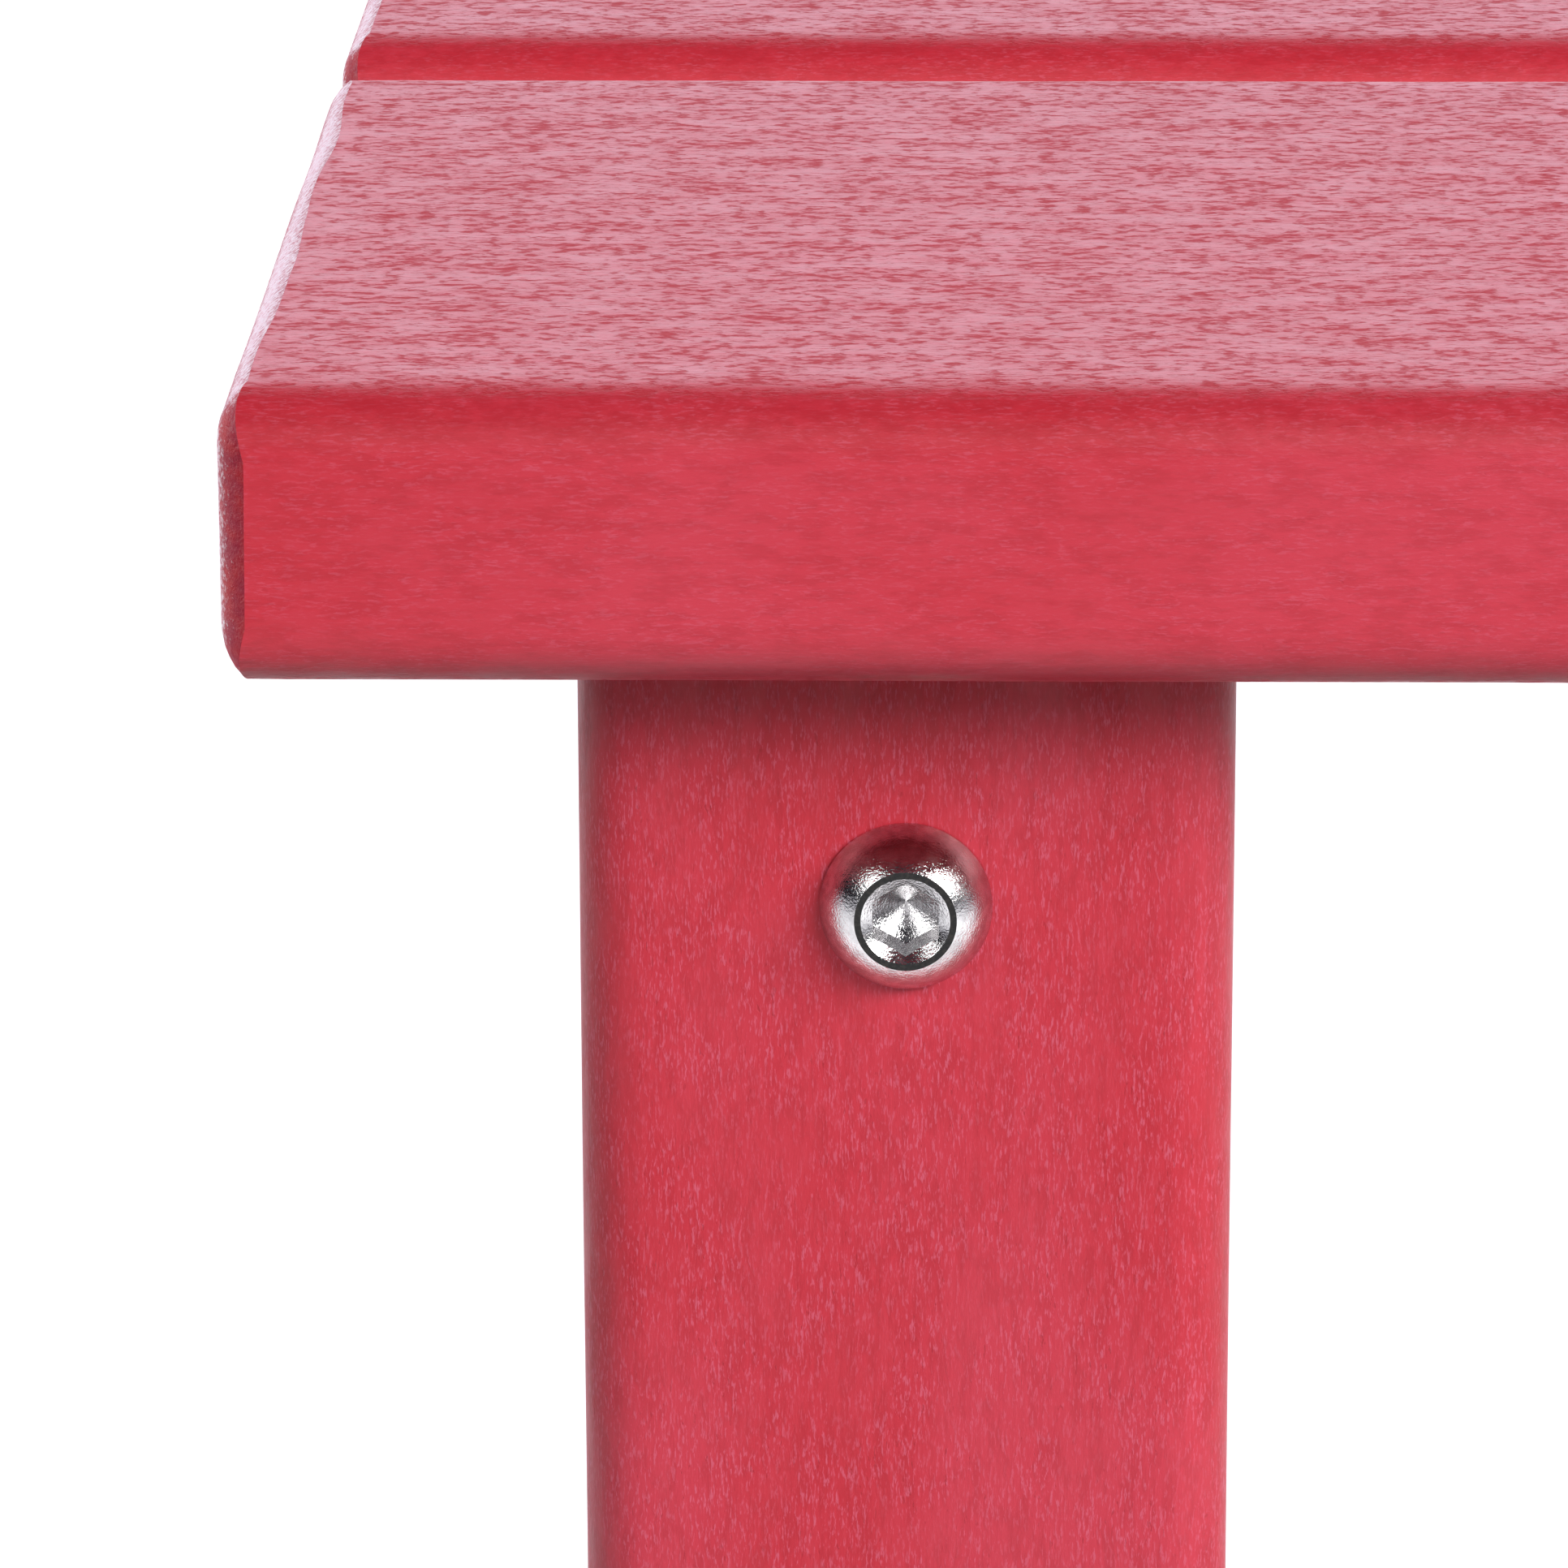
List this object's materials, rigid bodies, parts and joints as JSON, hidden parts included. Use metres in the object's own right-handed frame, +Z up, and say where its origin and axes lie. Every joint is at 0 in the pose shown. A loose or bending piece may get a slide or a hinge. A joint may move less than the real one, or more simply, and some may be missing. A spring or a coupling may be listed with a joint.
{
  "type": "slatted side table",
  "caption": "Free-standing outdoor side table of poly lumber boards: slatted top on two bolted end frames joined by a low stretcher.",
  "frame": {"origin": "on the floor, under the middle of the top", "axes": "+X along the slats, +Y from the front to the back, +Z up"},
  "size_m": [0.48, 0.384, 0.45],
  "materials": {
    "poly_lumber": "red moulded poly lumber with a fine fibrous grain along each board",
    "stainless_steel": "polished stainless steel, slightly grainy",
    "dowel_plastic": "natural nylon"
  },
  "bodies": {
    "root": {"slat_1": "poly_lumber", "slat_2": "poly_lumber", "slat_3": "poly_lumber", "slat_4": "poly_lumber", "leg_front_left": "poly_lumber", "leg_front_right": "poly_lumber", "leg_back_left": "poly_lumber", "leg_back_right": "poly_lumber", "top_rail_left": "poly_lumber", "top_rail_right": "poly_lumber", "lower_rail_left": "poly_lumber", "lower_rail_right": "poly_lumber", "stretcher": "poly_lumber", "batten": "poly_lumber", "top_rail_screws": "stainless_steel", "lower_rail_screws": "stainless_steel", "stretcher_screws": "stainless_steel", "top_rail_nuts": "stainless_steel", "lower_rail_nuts": "stainless_steel", "stretcher_nuts": "stainless_steel", "rail_slat_screws": "stainless_steel", "batten_slat_screws": "stainless_steel", "top_rail_dowels": "dowel_plastic", "lower_rail_dowels": "dowel_plastic", "stretcher_dowels": "dowel_plastic"}
  },
  "joints": []
}
